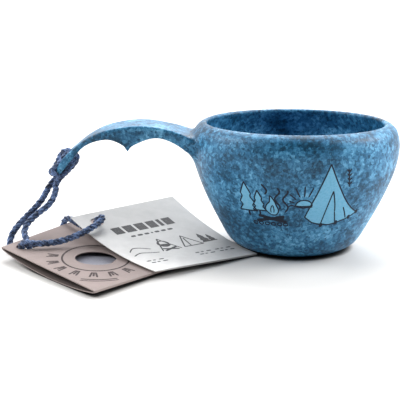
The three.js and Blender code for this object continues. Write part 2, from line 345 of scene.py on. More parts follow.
def maths(tree, operation, a, b):
    return node(tree, "ShaderNodeMath", operation=operation, i0=a, i1=b).outputs[0]


def vector_maths(tree, operation, **inputs):
    return node(tree, "ShaderNodeVectorMath", operation=operation, **inputs).outputs[0]


def map_range(tree, value, low, high, start, end):
    """A number that goes from start to end as the value goes from low to high."""
    return node(tree, "ShaderNodeMapRange", Value=value, i1=low, i2=high, i3=start, i4=end).outputs[0]


def ramp(tree, value, stops):
    """A colour ramp with (position, colour) stops; a colour may be one grey number."""
    made = node(tree, "ShaderNodeValToRGB", Fac=value)
    elements = made.color_ramp.elements
    while len(elements) < len(stops):
        elements.new(0.5)
    for element, (position, colour) in zip(elements, stops):
        element.position = position
        rgb = (colour, colour, colour) if isinstance(colour, (int, float)) else colour
        element.color = (*rgb, 1)
    return made.outputs["Color"]


def mix_colour(tree, amount, a, b):
    """From colour a to colour b by an amount; a colour is a socket or an RGB triple."""
    first, second = [(*colour, 1) if isinstance(colour, tuple) else colour for colour in (a, b)]
    return node(tree, "ShaderNodeMix", data_type="RGBA", i0=amount, i6=first, i7=second).outputs[2]


def bump(tree, shader, height, strength, distance):
    made = node(tree, "ShaderNodeBump", Strength=strength, Distance=distance, Height=height)
    tree.links.new(made.outputs["Normal"], shader.inputs["Normal"])


def object_place(tree):
    return tree.nodes.new("ShaderNodeTexCoord").outputs["Object"]


MOTTLE_SHIFT = (1.1, 0.0, 0.6)


def composite_material():
    """Wood-fibre composite: chips of several blues, pale fibres, dark flakes and a satin skin."""
    material, tree, shader = new_material("moulded_wood_fibre", 0.42)
    shader.inputs["Specular IOR Level"].default_value = 0.3
    place = vector_maths(tree, "ADD", i0=object_place(tree), i1=MOTTLE_SHIFT)

    def shifted_by(scale, amount, source):
        swirl = noise(tree, source, scale, 3, 0.6).outputs["Color"]
        return vector_maths(tree, "MULTIPLY_ADD", i0=swirl, i1=(amount, amount, amount), i2=source)

    def chips(scale, source):
        cells = node(tree, "ShaderNodeTexVoronoi", Vector=source, Scale=scale, Randomness=1)
        parts = node(tree, "ShaderNodeSeparateColor", Color=cells.outputs["Color"])
        return cells.outputs["Distance"], parts.outputs

    flowing = shifted_by(85, 0.010, place)
    ragged = shifted_by(900, 0.0012, place)
    patches = noise(tree, flowing, 52, 3, 0.5).outputs["Fac"]
    blotches = noise(tree, place, 360, 6, 0.72).outputs["Fac"]
    grains = noise(tree, place, 1500, 4, 0.75).outputs["Fac"]
    _, large = chips(300, ragged)
    _, small = chips(760, ragged)
    tone = maths(tree, "MULTIPLY", patches, 0.40)
    for part, share in ((blotches, 0.22), (large[0], 0.06), (small[1], 0.12), (grains, 0.20)):
        tone = maths(tree, "ADD", tone, maths(tree, "MULTIPLY", part, share))
    base = ramp(tree, tone, [
        (0.37, (0.001, 0.033, 0.069)), (0.435, (0.006, 0.067, 0.139)), (0.49, (0.020, 0.122, 0.246)),
        (0.55, (0.052, 0.222, 0.400)), (0.63, (0.15, 0.42, 0.65)),
    ])
    stretched = vector_maths(tree, "MULTIPLY", i0=ragged, i1=(2600, 620, 900))
    fibres = noise(tree, stretched, 1.0, 3, 0.55, 0.5).outputs["Fac"]
    pale = ramp(tree, fibres, [(0.60, 0), (0.70, 1)])
    base = mix_colour(tree, maths(tree, "MULTIPLY", pale, 0.36), base, (0.15, 0.42, 0.66))
    near, kinds = chips(560, ragged)
    core = ramp(tree, near, [(0.20, 1), (0.36, 0)])
    chosen = ramp(tree, kinds[2], [(0.70, 0), (0.76, 1)])
    flake = maths(tree, "MULTIPLY", maths(tree, "MULTIPLY", core, chosen), 0.7)
    base = mix_colour(tree, flake, base, (0.003, 0.040, 0.084))
    tree.links.new(base, shader.inputs["Base Color"])
    tree.links.new(map_range(tree, blotches, 0.3, 0.7, 0.52, 0.36), shader.inputs["Roughness"])
    relief = maths(tree, "ADD", maths(tree, "MULTIPLY", grains, 0.6), maths(tree, "MULTIPLY", blotches, 0.4))
    bump(tree, shader, relief, 0.2, 0.00016)
    return material


def yarn_material(name, dark, mid, pale):
    """Twisted yarn: long fibres that run round each ply."""
    material, tree, shader = new_material(name, 0.82, 0.25)
    uv = tree.nodes.new("ShaderNodeTexCoord").outputs["UV"]
    fibre_place = vector_maths(tree, "MULTIPLY", i0=uv, i1=(26, 3.2, 1))
    fibres = noise(tree, fibre_place, 1.0, 4, 0.65, 0.8).outputs["Fac"]
    tufts = noise(tree, object_place(tree), 420, 3, 0.6).outputs["Fac"]
    tone = maths(tree, "ADD", maths(tree, "MULTIPLY", fibres, 0.6), maths(tree, "MULTIPLY", tufts, 0.4))
    base = ramp(tree, tone, [(0.40, dark), (0.485, mid), (0.57, pale)])
    tree.links.new(base, shader.inputs["Base Color"])
    bump(tree, shader, fibres, 0.6, 0.0002)
    return material


def card_material(name, colour, speck, rough, fleck_amount):
    """Paper or card: fine pulp grain with sparse flecks."""
    material, tree, shader = new_material(name, rough)
    place = object_place(tree)
    clouds = noise(tree, place, 160, 4, 0.6).outputs["Fac"]
    pulp = noise(tree, place, 2400, 4, 0.7).outputs["Fac"]
    flecks = ramp(tree, noise(tree, place, 900, 3, 0.8, 1.2).outputs["Fac"], [(0.62, 0), (0.70, 1)])
    dull = tuple(c * 0.90 for c in colour)
    base = mix_colour(tree, ramp(tree, clouds, [(0.35, 0), (0.65, 1)]), colour, dull)
    base = mix_colour(tree, maths(tree, "MULTIPLY", flecks, fleck_amount), base, speck)
    tree.links.new(base, shader.inputs["Base Color"])
    tree.links.new(map_range(tree, pulp, 0.3, 0.7, rough - 0.06, rough + 0.08), shader.inputs["Roughness"])
    bump(tree, shader, pulp, 0.18, 0.00006)
    return material


def paint_shade_toward_back(material, front, back, tone):
    """Paints shade into a sheet's colour: darker from its front to its back, both in metres."""
    tree = material.node_tree
    shader = tree.nodes["Principled BSDF"]
    colour = shader.inputs["Base Color"].links[0].from_socket
    parts = node(tree, "ShaderNodeSeparateXYZ", Vector=object_place(tree))
    # Painted shade: the colour is scaled from full at the front down to the given tone at the back.
    shade = map_range(tree, parts.outputs["Y"], front, back, 1.0, tone)
    painted_shade_colour = vector_maths(tree, "SCALE", i0=colour, Scale=shade)
    tree.links.new(painted_shade_colour, shader.inputs["Base Color"])


def ink_material(name, colour, rough, wear=0.3):
    """Printed ink, a little uneven over the surface under it."""
    material, tree, shader = new_material(name, rough)
    shader.inputs["Specular IOR Level"].default_value = 0.25
    grain = noise(tree, object_place(tree), 1100, 5, 0.75).outputs["Fac"]
    lighter = tuple(c + (0.45 - c) * wear for c in colour)
    darker = tuple(c * (1 - wear) for c in colour)
    base = ramp(tree, grain, [(0.34, darker), (0.50, colour), (0.68, lighter)])
    tree.links.new(base, shader.inputs["Base Color"])
    tree.links.new(map_range(tree, grain, 0.3, 0.7, rough, rough + 0.12), shader.inputs["Roughness"])
    bump(tree, shader, grain, 0.1, 0.00005)
    return material


# -------- camera, light and floor

FOCAL_LENGTH = 85.5
CAMERA_PLACE = (-0.0460, -0.4555, 0.1284)
CAMERA_LOOKS_DOWN = 13.11
FLOOR_COLOUR = (0.70, 0.692, 0.68)
PAINTED_CONTACT_SHADOW = (0.02, 0.02, 0.02)
CONTACT_REACH = 0.004
GLOW_FROM, GLOW_TO, GLOW = 0.28, 0.9, 0.75
SUN_STRENGTH = 2.6
SUN_SPREAD = 46
SUN_TURNS = (-40, 0, -6)
SOFTBOX_SIZE = (0.5, 0.6)


def make_camera():
    data = bpy.data.cameras.new("camera")
    data.lens = FOCAL_LENGTH
    data.sensor_width = 36
    data.clip_start = 0.01
    camera = add_object("camera", data)
    camera.location = CAMERA_PLACE
    camera.rotation_euler = (math.radians(90 - CAMERA_LOOKS_DOWN), 0, 0)
    bpy.context.scene.camera = camera


def softbox(name, place, aim, power):
    data = bpy.data.lights.new(name, "AREA")
    data.shape = "RECTANGLE"
    data.size, data.size_y = SOFTBOX_SIZE
    data.energy = power
    lamp = add_object(name, data)
    lamp.location = place
    direction = np.array(aim) - np.array(place)
    lamp.rotation_euler = Vector(direction).to_track_quat("-Z", "Y").to_euler()


def make_world():
    """A pale studio dome, bright at the sides, above and behind, and dim in front."""
    world = bpy.data.worlds.new("studio")
    world.use_nodes = True
    tree = world.node_tree
    direction = tree.nodes.new("ShaderNodeTexCoord").outputs["Generated"]
    parts = node(tree, "ShaderNodeSeparateXYZ", Vector=direction)
    back = map_range(tree, parts.outputs["Y"], -0.4, 1.0, 0.05, 1.28)
    right = map_range(tree, parts.outputs["X"], 0.1, 0.9, 0.0, 0.6)
    left = map_range(tree, parts.outputs["X"], -0.2, -0.9, 0.0, 0.4)
    level = maths(tree, "ADD", maths(tree, "ADD", maths(tree, "POWER", back, 2.0), right), left)
    tree.links.new(level, tree.nodes["Background"].inputs["Strength"])
    tree.nodes["Background"].inputs["Color"].default_value = (1, 1, 1, 1)
    bpy.context.scene.world = world


def make_floor():
    """A wide floor, dark with painted contact shadow where something stands on it, and glowing far away."""
    half = 14000
    floor = make_object("floor", [(-half, -half, 0), (half, -half, 0), (half, half, 0), (-half, half, 0)],
                        [(0, 1, 2, 3)])
    floor.location.z = -0.0002
    material, tree, shader = new_material("studio_floor", 0.65)
    # Painted contact shadow: ambient occlusion turns the floor's colour near black close to anything
    # standing on it.
    openness = node(tree, "ShaderNodeAmbientOcclusion", Distance=CONTACT_REACH).outputs["AO"]
    shade = ramp(tree, openness, [(0.22, PAINTED_CONTACT_SHADOW), (0.62, FLOOR_COLOUR)])
    tree.links.new(shade, shader.inputs["Base Color"])
    shader.inputs["Specular IOR Level"].default_value = 0.2
    shader.inputs["Emission Color"].default_value = (1, 1, 1, 1)
    away = node(tree, "ShaderNodeVectorMath", operation="LENGTH", i0=object_place(tree)).outputs["Value"]
    glow = map_range(tree, away, GLOW_FROM, GLOW_TO, 0.0, GLOW)
    tree.links.new(glow, shader.inputs["Emission Strength"])
    floor.data.materials.append(material)


def make_stage():
    make_floor()
    make_world()
    sun = bpy.data.lights.new("overhead_glow", "SUN")
    sun.energy = SUN_STRENGTH
    sun.angle = math.radians(SUN_SPREAD)
    sky = add_object("overhead_glow", sun)
    sky.rotation_euler = [math.radians(turn) for turn in SUN_TURNS]
    softbox("right_softbox", (0.68, 0.05, 0.55), (0, 0, 0.05), 9.4)
    softbox("left_softbox", (-0.70, 0.02, 0.55), (-0.02, 0, 0.05), 6.0)
    bpy.context.scene.view_settings.view_transform = "Standard"


# -------- cord

def twisted_rope(line, radius, lay, plies=3, sides=14):
    """Vertices, faces and UVs of plies laid round a line, each with raised yarns."""
    ply_radius = radius * 0.5
    along = np.concatenate([[0], np.cumsum(np.linalg.norm(np.diff(line, axis=0), axis=1))])
    _, normals, binormals = travelling_frames(line)
    angles = np.arange(sides) * 2 * math.pi / sides
    vertices, faces, uvs = [], [], []
    for ply in range(plies):
        phase = 2 * math.pi * (along / lay + ply / plies)
        centre = line + (radius - ply_radius) * (np.cos(phase)[:, None] * normals
                                                  + np.sin(phase)[:, None] * binormals)
        _, across, up = travelling_frames(centre)
        slack = 1 + 0.06 * np.sin(along * 0.9 + ply * 2.1) + 0.04 * np.sin(along * 2.3 + ply)
        start = len(vertices) * sides
        for i, point in enumerate(centre):
            ridges = 1 + YARN_RIDGE * np.cos(YARNS_IN_PLY * angles - along[i] * YARN_TURN)
            size = ply_radius * slack[i] * ridges
            vertices.append(point + size[:, None] * (np.cos(angles)[:, None] * across[i]
                                                     + np.sin(angles)[:, None] * up[i]))
        count = len(centre)
        turn = along / (2 * math.pi * ply_radius)
        for i in range(count - 1):
            low = start + i * sides
            faces += band(low, low + sides, sides)
            for k in range(sides):
                uvs += [(k / sides, turn[i]), ((k + 1) / sides, turn[i]),
                        ((k + 1) / sides, turn[i + 1]), (k / sides, turn[i + 1])]
        for low, ends in ((start, -1), (start + (count - 1) * sides, 1)):
            faces.append(tuple(low + k for k in range(sides))[::ends])
            uvs += [(0.5, 0.5)] * sides
    return np.vstack(vertices), faces, uvs


def fuzz(line, radius, count, reach):
    """Loose fibres that stand off the cord, each a thin three-sided sliver."""
    tangents, normals, binormals = travelling_frames(line)
    vertices, faces = [], []
    rings, sides = 5, 3
    for _ in range(count):
        i = int(random.integers(2, len(line) - 2))
        angle = random.uniform(0, 2 * math.pi)
        out = math.cos(angle) * normals[i] + math.sin(angle) * binormals[i]
        side = np.cross(tangents[i], out)
        lean = random.choice([-1, 1]) * random.uniform(0.5, 1.6)
        sway = random.uniform(-0.8, 0.8)
        curl = random.uniform(-1.0, 0.4)
        length = reach * random.uniform(0.35, 1.0)
        thickness = random.uniform(0.026, 0.048)
        start = len(vertices)
        for k in range(rings):
            t = k / (rings - 1)
            step = tangents[i] * lean * t + side * (sway * t + 0.4 * sway * t * t)
            point = line[i] + out * (radius * 0.72 + length * (t + curl * t * t * 0.5)) + step * length
            width = thickness * (1 - 0.7 * t)
            for s in range(sides):
                turn = 2 * math.pi * s / sides
                vertices.append(point + width * (math.cos(turn) * side + math.sin(turn) * tangents[i]))
        for low in range(start, start + (rings - 1) * sides, sides):
            faces += band(low, low + sides, sides)
        faces.append((start, start + 2, start + 1))
        top = start + (rings - 1) * sides
        faces.append((top, top + 1, top + 2))
    uvs = [(0.37 + 0.01 * k, 0.2) for face in faces for k in range(len(face))]
    return vertices, faces, uvs


def rope_object(name, line, radius, lay, hairs, reach, materials):
    vertices, faces, uvs = twisted_rope(line, radius, lay)
    hair_vertices, hair_faces, hair_uvs = fuzz(line, radius, hairs, reach)
    shifted = [tuple(i + len(vertices) for i in f) for f in hair_faces]
    vertices = np.vstack([vertices, hair_vertices])
    vertices[:, 2] = np.maximum(vertices[:, 2], FLOOR_CLEARANCE)
    rope = outward(make_object(name, vertices, faces + shifted, uvs + hair_uvs))
    for material in materials:
        rope.data.materials.append(material)
    indices = [0] * len(faces) + [len(materials) - 1] * len(shifted)
    rope.data.polygons.foreach_set("material_index", indices)
    return rope


def knot_line():
    """A tight overhand knot: a trefoil flattened to the knot's own size."""
    t = np.linspace(0.35, 2 * math.pi - 0.1, 160)
    shape = np.stack([np.sin(t) + 2 * np.sin(2 * t), np.cos(t) - 2 * np.cos(2 * t), -np.sin(3 * t)], 1)
    room = np.array(KNOT_REACH) - 1.15
    return even_line(shape * room / (3, 3, 1) + KNOT_CENTRE, 0.3)


def make_cords():
    yarn = yarn_material("yarn_navy", (0.003, 0.007, 0.020), (0.014, 0.034, 0.090), (0.210, 0.330, 0.620))
    strands = yarn_material("loose_fibres", (0.03, 0.06, 0.13), (0.07, 0.13, 0.26), (0.20, 0.30, 0.52))
    radius = CORD_DIAMETER / 2
    finish = (yarn, strands)
    front_line = cord_line(FRONT_ROUTE, CORD_POINT_SPACING)
    return_line = cord_line(RETURN_ROUTE, CORD_POINT_SPACING)[::-1]
    hitch_line = cord_line(HITCH_ROUTE, CORD_POINT_SPACING)
    front = rope_object("rope_front", front_line, radius, CORD_LAY, 330, 1.5, finish)
    back = rope_object("rope_return", return_line, radius, CORD_LAY, 260, 1.5, finish)
    hitch = rope_object("rope_hitch", hitch_line, radius * 0.97, CORD_LAY * 0.9, 320, 2.3, finish)
    knot = rope_object("rope_knot", knot_line(), 1.05, 5.5, 60, 1.2, finish)
    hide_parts("cord_front_strand")
    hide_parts("cord_return_strand")
    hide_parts("cord_hitch")
    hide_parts("cord_knot")
    for piece in (front, back, knot):
        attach(piece, "cord_loop")
    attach(hitch, "cup")
    return front, front_line, back, return_line, hitch, knot


# -------- cup

def bowl_outline():
    outer = spline(OUTER_PROFILE, 12)
    inner = spline(INNER_PROFILE, 12)
    return np.vstack([[(0, 0)], outer, inner[1:]])


def make_handle():
    """The side view extruded across, trimmed to the plan and front views and to the mouth."""
    top = spline(HANDLE_TOP, 10)
    outer_arch = spline(OUTER_FINGER_ARCH, 8)
    inner_arch = spline(INNER_FINGER_ARCH, 8)
    side = prism(np.vstack([top, outer_arch, inner_arch[1:]]), lambda a, b, d: (a, d, b), -30, 30)
    edge = spline(HANDLE_PLAN, 8)
    plan = prism(np.vstack([edge, edge[-2::-1] * (1, -1)]), lambda a, b, d: (a, b, d), 0, 80)
    front_half = np.array(HANDLE_FRONT, float)
    front = prism(np.vstack([front_half, front_half[::-1] * (-1, 1)]), lambda a, b, d: (d, a, b), -130, 0)
    handle = combine(combine(side, plan, "INTERSECT"), front, "INTERSECT")
    above = CUP_HEIGHT + 10
    inside = spline(INNER_PROFILE, 12)[1:][::-1]
    cavity = lathe(np.vstack([inside, [(MOUTH_RADIUS, above), (0, above)]]), 128)
    handle = combine(handle, cavity, "DIFFERENCE")
    x, z = EYE_CENTRE
    ax, az = EYE_AXIS
    eye = prism(circle(EYE_RADIUS, 48), lambda a, b, d: (x + a * az + d * ax, b, z - a * ax + d * az), -8, 8)
    return combine(handle, eye, "DIFFERENCE")


def relax(points, edges, weight, rounds):
    """Moves each point towards the middle of its neighbours, as far as its weight says."""
    size = len(points)
    first, second = edges[:, 0], edges[:, 1]
    count = np.bincount(edges.ravel(), minlength=size)[:, None]
    for _ in range(rounds):
        total = np.stack([
            np.bincount(first, points[second, k], size) + np.bincount(second, points[first, k], size)
            for k in range(3)
        ], 1)
        points = points + weight[:, None] * (total / count - points)
    return points


def make_cup(material):
    """The bowl and handle skinned together, with a fillet where they meet."""
    handle = make_handle()
    handle_tree = BVHTree.FromPolygons(
        [v.co for v in handle.data.vertices], [p.vertices[:] for p in handle.data.polygons])
    outline = bowl_outline()
    cup = joined("cup", [lathe(outline, 256), handle])
    skin = cup.modifiers.new("skin", "REMESH")
    skin.mode = "VOXEL"
    skin.voxel_size = SKIN_STEP * MM
    apply_modifiers(cup)
    mesh = cup.data
    points = np.empty(len(mesh.vertices) * 3, np.float32)
    mesh.vertices.foreach_get("co", points)
    points = points.reshape(-1, 3).astype(float) / MM
    edges = np.empty(len(mesh.edges) * 2, np.int32)
    mesh.edges.foreach_get("vertices", edges)
    edges = edges.reshape(-1, 2)

    dense = even_line(outline, 0.04)
    profile = KDTree(len(dense))
    for i, (radius, z) in enumerate(dense):
        profile.insert((radius, 0, z), i)
    profile.balance()
    radii = np.hypot(points[:, 0], points[:, 1])
    found = [profile.find((r, 0, z)) for r, z in zip(radii, points[:, 2])]
    on_bowl = dense[[index for _, index, _ in found]]
    from_bowl = np.array([distance for _, _, distance in found])
    from_handle = np.array([handle_tree.find_nearest(p * MM)[3] for p in points]) / MM

    seam = 1 - smoothstep(0.8, FILLET_REACH, np.maximum(from_bowl, from_handle))
    tip = smoothstep(0.6, 3.0, np.hypot(points[:, 0] - SPIKE_TIP[0], points[:, 2] - SPIKE_TIP[1]))
    points = relax(points, edges, 0.5 * tip, 5)
    points = relax(points, edges, 0.6 * seam, FILLET_ROUNDS)
    radii = np.maximum(np.hypot(points[:, 0], points[:, 1]), 1e-6)
    turned = np.stack([points[:, 0] / radii * on_bowl[:, 0], points[:, 1] / radii * on_bowl[:, 0],
                       on_bowl[:, 1]], 1)
    exact = (smoothstep(FILLET_REACH, 8.0, from_handle) * (from_bowl < 1.2))[:, None]
    points = points * (1 - exact) + turned * exact
    mesh.vertices.foreach_set("co", (points * MM).astype(np.float32).ravel())
    mesh.polygons.foreach_set("use_smooth", [True] * len(mesh.polygons))
    mesh.update()
    mesh.materials.clear()
    mesh.materials.append(material)
    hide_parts("cup_body")
    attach(cup, "cup")
    return cup


# -------- printing on a surface

def slab_on(surface, rows, lift, depth, flip=False):
    """Vertices and faces of a thin slab over rows of (a, b) points of a surface."""
    small = 0.05
    tops, bottoms = [], []
    for row in rows:
        for a, b in row:
            point = surface(a, b)
            normal = np.cross(surface(a + small, b) - point, surface(a, b + small) - point)
            normal *= (-1 if flip else 1) / np.linalg.norm(normal)
            tops.append(point + normal * lift)
            bottoms.append(point - normal * depth)
    count, width = len(rows), len(rows[0])
    under = len(tops)
    faces = []
    for i in range(count - 1):
        for k in range(width - 1):
            a = i * width + k
            faces.append((a, a + 1, a + width + 1, a + width))
            faces.append((under + a, under + a + width, under + a + width + 1, under + a + 1))
    grid = np.arange(under).reshape(count, width)
    rim = [*grid[0], *grid[1:, -1], *grid[-1, -2::-1], *grid[-2:0:-1, 0]]
    for a, b in zip(rim, rim[1:] + rim[:1]):
        faces.append((a, under + a, under + b, b))
    return tops + bottoms, faces


def stroke_rows(points, width, closed=False):
    """Rows of left, middle and right points along a drawn line with rounded ends."""
    path = np.asarray(points, float)
    if closed:
        path = np.vstack([path, path[:1]])
    path = even_line(path, 0.5)
    tangent = np.gradient(path, axis=0)
    if closed:
        tangent[0] = tangent[-1] = path[1] - path[-2]
    tangent /= np.linalg.norm(tangent, axis=1)[:, None]
    side = np.stack([-tangent[:, 1], tangent[:, 0]], 1) * width / 2
    if not closed:
        side[[0, -1]] *= 0.45
    return [[p - s, p, p + s] for p, s in zip(path, side)]


def fill_rows(outline, spacing=1.2):
    """Rows across a filled outline, which each level crosses twice."""
    ring = even_line(np.vstack([outline, outline[:1]]), 0.2)
    low, high = ring[:, 1].min() + 0.02, ring[:, 1].max() - 0.02
    levels = np.linspace(low, high, max(2, round((high - low) / spacing) + 1))
    columns = max(2, round(np.ptp(ring[:, 0]) / spacing) + 1)
    rows = []
    for level in levels:
        a, b = ring[:-1], ring[1:]
        crossing = (a[:, 1] - level) * (b[:, 1] - level) <= 0
        a, b = a[crossing], b[crossing]
        rise = np.where(np.abs(b[:, 1] - a[:, 1]) < 1e-9, 1e-9, b[:, 1] - a[:, 1])
        across = a[:, 0] + (b[:, 0] - a[:, 0]) * np.clip((level - a[:, 1]) / rise, 0, 1)
        rows.append([(x, level) for x in np.linspace(across.min(), across.max() + 1e-3, columns)])
    return rows


def printed(name, surface, shapes, material, lift, depth, flip=False):
    """One object with a thin slab for each printed shape."""
    vertices, faces = [], []
    for rows in shapes:
        offset = len(vertices)
        more, quads = slab_on(surface, rows, lift, depth, flip)
        vertices += more
        faces += [tuple(i + offset for i in quad) for quad in quads]
    obj = outward(make_object(name, vertices, faces, smooth=False))
    obj.data.materials.append(material)
    return obj


def around(x, y, radius, turn, squash=1.0):
    """The point at a radius and a turn in degrees from (x, y)."""
    angle = math.radians(turn)
    return x + radius * math.cos(angle), y + radius * squash * math.sin(angle)


def arc(x, y, radius, start, end, steps=24, squash=1.0):
    return [around(x, y, radius, turn, squash) for turn in np.linspace(start, end, steps)]


# -------- the drawing on the bowl

DRAWING_RADIUS = 45
OUTER_CURVE = spline(OUTER_PROFILE, 40)


def bowl_surface(across, height):
    """A point of the bowl's outside: across from the front, and height, in millimetres."""
    turn = across / DRAWING_RADIUS
    radius = np.interp(height, OUTER_CURVE[:, 1], OUTER_CURVE[:, 0])
    return np.array((radius * math.sin(turn), -radius * math.cos(turn), height))


def pine(x, base, height, width):
    """Outline of a plain pine tree of three tiers."""
    half = []
    tiers = 3
    for k in range(tiers):
        low = base + height * (0.12 + 0.27 * k)
        reach = width / 2 * (1 - 0.24 * k)
        half.append((reach, low))
        if k < tiers - 1:
            half.append((reach * 0.52, low + height * 0.17))
    right = [(x + reach, z) for reach, z in reversed(half)]
    return [(x - reach, z) for reach, z in half] + [(x, base + height)] + right


def make_bowl_drawing():
    """A camp scene: a tent, a rising sun, a fire with smoke, pines and a small sprig."""
    ink = ink_material("bowl_ink_navy", (0.003, 0.010, 0.024), 0.5, 0.03)
    tint = ink_material("bowl_tint_blue", (0.150, 0.430, 0.640), 0.45, 0.2)
    line = 0.62
    tent_edge = spline([(10.3, 49.6), (13.5, 42), (17.2, 35.4), (20.5, 31), (24.4, 27.4), (28.3, 25)], 5)
    tent = [(9.3, 20), (4.6, 21.4), (1.0, 24.2), (5.5, 35.8), (7.7, 42.2), *tent_edge]
    tent += [(24.7, 22.6), (17.4, 20.4), (13.9, 19.8)]
    folds = (
        [(12.6, 37), (10.9, 28.5), (9.4, 20.3)], [(12.6, 37), (14.6, 30), (15.3, 26.4)],
        [(15.3, 26.4), (16.4, 23), (17.2, 20.6)], [(19.3, 28.5), (21, 25.6), (22.6, 22.6)],
    )
    peg_places = ((9.6, 20), (17.6, 20.8), (24.4, 22.9), (28.2, 25.2))
    pegs = [[(x, y + 0.9), (x + 0.2, y - 1.2)] for x, y in peg_places]
    trees = [pine(-26.2, 24.2, 16, 9.6), pine(-20.4, 25.4, 11.4, 6.8)]
    trunks = [[(-26.2, 26), (-26.2, 23.4)], [(-20.4, 26.6), (-20.4, 24.6)]]
    flame = spline([
        (-15, 25), (-17.4, 27.4), (-16.7, 30), (-15.2, 31.6), (-14.8, 34.6), (-12.9, 31.8),
        (-12.2, 29.8), (-11.3, 27.2), (-12.6, 25), (-15, 25),
    ], 4)
    flame_heart = spline([(-14.9, 26), (-14.9, 28), (-13.9, 29.8), (-13.4, 27.6), (-13.6, 26)], 5)
    logs = ([(-23, 21.2), (-8.6, 24.2)], [(-21.6, 24.2), (-7.6, 21.4)], [(-19, 22.6), (-9, 22.8)])
    stones = [arc(x, 20.1, 1.2, 0, 360, 14, 0.62) for x in (-24, -20.8, -17.6, -14.4, -11.2, -8.2)]
    smoke = [
        spline([(x + 1.1 * math.sin((z - 27) * 0.8), z) for z in np.linspace(low, top, 12)], 4)
        for x, low, top in ((-17.2, 35, 40), (-11.6, 28, 38.6), (-8, 26.6, 37.6))
    ]
    sun = arc(0.2, 29.9, 3.7, 0, 180, 18, 0.8)
    ray_spans = ((160, 4.4, 7.2), (138, 4.6, 8.6), (114, 4.6, 9.4), (90, 4.4, 9.6), (68, 4.6, 9.6))
    rays = [[around(0.2, 30, near, turn), around(0.2, 30, far, turn)] for turn, near, far in ray_spans]
    hill = spline([(-7.4, 28.6), (-5.6, 30.2), (-3.6, 29.7)], 6)
    stem = [(18.2, 47), (19.6, 38.4)]
    feet = [(18.5 + 0.32 * k, 45.6 - 2.0 * k) for k in range(4)]
    leaves = [[(x, y), (x + side * 1.1, y + 1.3)] for x, y in feet for side in (-1, 1)]
    closed = (tent, *trees, sun + [(4, 29.4), (0, 28.9), (-3.5, 29.6)])
    shapes = [stroke_rows(outline, line, closed=True) for outline in closed]
    for width, strokes in (
        (line, [*[spline(fold, 6) for fold in folds], flame, *rays, hill]), (line + 0.2, smoke),
        (1.8, pegs), (1.5, logs), (1.1, trunks[:1]), (0.9, trunks[1:]), (0.7, leaves),
        (0.6, [*stones, stem]), (0.5, [flame_heart]),
    ):
        shapes += [stroke_rows(stroke, width) for stroke in strokes]
    fills = [fill_rows(tent), *[fill_rows(outline, 0.8) for outline in (*trees, flame)], fill_rows(sun, 0.6)]
    lines = printed("camp_drawing_lines", bowl_surface, shapes, ink, 0.055, 0.06)
    tints = printed("camp_drawing_tint", bowl_surface, fills, tint, 0.03, 0.06)
    for piece in (lines, tints):
        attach(piece, "cup")


# -------- card sleeve

def sleeve_top(u, v):
    open_back, open_front, far_back, far_front = SLEEVE_CORNERS
    back = open_back + (far_back - open_back) * u
    front = open_front + (far_front - open_front) * u
    point = back + (front - back) * v
    point[2] -= SLEEVE_SAG * u * 4 * v * (1 - v)
    return point


def sleeve_height(u, v):
    open_bulge, far_bulge = 3.4, 1.1
    bulge = open_bulge + (far_bulge - open_bulge) * math.sqrt(u)
    return 2 * CARD_THICKNESS + bulge * max(math.sin(math.pi * v), 0) ** 0.7


def sleeve_section(u, steps):
    """Outer and inner loops of the flat tube at one place along it."""
    loops = []
    for margin, skin in ((0, 0), (0.012, CARD_THICKNESS)):
        places = [margin + (1 - 2 * margin) * v for v in np.linspace(0, 1, steps)]
        tops = [sleeve_top(u, v) for v in places]
        lows = [top - (0, 0, sleeve_height(u, v)) for top, v in zip(tops, places)]
        loops.append([p - (0, 0, skin) for p in tops] + [p + (0, 0, skin) for p in reversed(lows)])
    return loops


def tube_walls(sections):
    """A closed wall between the outer and inner loops of a run of sections."""
    size = len(sections[0][0])
    vertices = [p for outer, inner in sections for p in outer + inner]
    last = (len(sections) - 1) * 2 * size
    faces = []
    for a in range(0, last, 2 * size):
        faces += band(a, a + 2 * size, size) + band(a + 3 * size, a + size, size)
    return vertices, faces + band(size, 0, size) + band(last + size, last, size)


def make_sleeve():
    """A flat tube; every second band of its walls is the inside, coloured darker as painted shade."""
    steps = 40
    vertices, faces = tube_walls([sleeve_section(u, steps) for u in np.linspace(0, 1, steps)])
    sleeve = make_object("sleeve", vertices, faces, smooth=False)
    outside = card_material("kraft_card", (0.285, 0.230, 0.218), (0.18, 0.13, 0.12), 0.78, 0.35)
    # Painted shade: the inside of the tube gets a much darker card colour than the outside.
    inside = card_material("kraft_inside_painted_shade", (0.105, 0.083, 0.076), (0.2, 0.16, 0.14), 0.85, 0.2)
    sleeve.data.materials.append(outside)
    sleeve.data.materials.append(inside)
    loop_size = 2 * steps
    walls = len(faces) - 2 * loop_size
    finish = [i // loop_size % 2 if i < walls else 0 for i in range(len(faces))]
    sleeve.data.polygons.foreach_set("material_index", finish)
    outward(sleeve)
    below, above = -5, 20
    hole = (*SLEEVE_HOLE, HOLE_SHEETS_PART, above)
    strand_holes = [(x, y, STRAND_HOLE_RADIUS, below, HOLE_SHEETS_PART) for x, y in STRAND_HOLES]
    window = (*SLEEVE_WINDOW, WINDOW_SHEETS_PART, above, 96)
    for cut in (hole, *strand_holes, window):
        combine(sleeve, upright_cylinder(*cut), "DIFFERENCE")
    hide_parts("card_sleeve")
    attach(sleeve, "cord_loop")
    return sleeve


SLEEVE_LENGTH = float(np.linalg.norm(SLEEVE_CORNERS[2] - SLEEVE_CORNERS[0]))
SLEEVE_WIDTH = float(np.linalg.norm(SLEEVE_CORNERS[1] - SLEEVE_CORNERS[0]))
WINDOW_ON_SHEET = (27, 43.25)
RING_RADIUS = 16.8
MARK_FOOT = 18.8
MARK_REACH = 23.9
PANEL_RADIUS = 13


def sleeve_surface(along, across):
    return sleeve_top(along / SLEEVE_LENGTH, across / SLEEVE_WIDTH)


